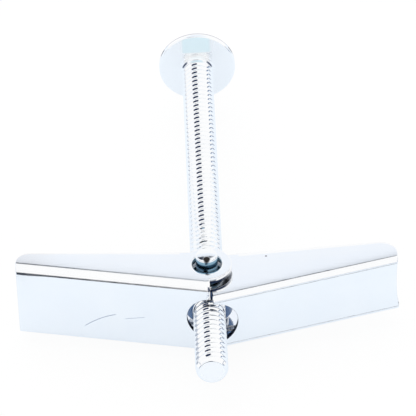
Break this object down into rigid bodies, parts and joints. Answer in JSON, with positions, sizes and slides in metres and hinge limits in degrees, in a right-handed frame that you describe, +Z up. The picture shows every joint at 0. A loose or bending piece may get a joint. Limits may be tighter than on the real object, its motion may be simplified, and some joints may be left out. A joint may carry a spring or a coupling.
{
  "type": "spring toggle bolt",
  "caption": "Machine screw with a low domed head and a trunnion nut whose sprung, folded sheet-metal wings hinge flat against the screw and open behind a hollow wall.",
  "frame": {"origin": "on the surface it lies on, under the middle of its bounding box", "axes": "+Z up along the trunnions, +Y along the screw towards its head, +X towards the tip of the inner wing"},
  "size_m": [0.0558, 0.077, 0.0158],
  "materials": {
    "screw_plate": "bright zinc plate",
    "nut_plate": "bright zinc plate",
    "wing_plate": "bright zinc plate, pale blue tint",
    "spring_wire": "bare spring wire"
  },
  "bodies": {
    "screw": {"screw": "screw_plate"},
    "nut": {"trunnion_nut": "nut_plate", "torsion_spring": "spring_wire"},
    "left_wing": {"left_wing": "wing_plate"},
    "right_wing": {"right_wing": "wing_plate"}
  },
  "joints": [
    {"name": "nut_travel", "type": "slide", "parent": "screw", "child": "nut", "axis": [0, 1, 0], "range_m": [-0.012, 0.026]},
    {"name": "left_fold", "type": "hinge", "parent": "nut", "child": "left_wing", "pos_m": [0, -0.0214, 0.00792], "axis": [0, 0, -1], "range_deg": [0, 78], "stiffness_Nm_per_rad": 0.02, "springref_deg": -57.3, "deforming": ["torsion_spring"]},
    {"name": "right_fold", "type": "hinge", "parent": "nut", "child": "right_wing", "pos_m": [0, -0.0214, 0.00792], "axis": [0, 0, 1], "range_deg": [0, 78], "stiffness_Nm_per_rad": 0.02, "springref_deg": -57.3, "deforming": ["torsion_spring"]}
  ]
}
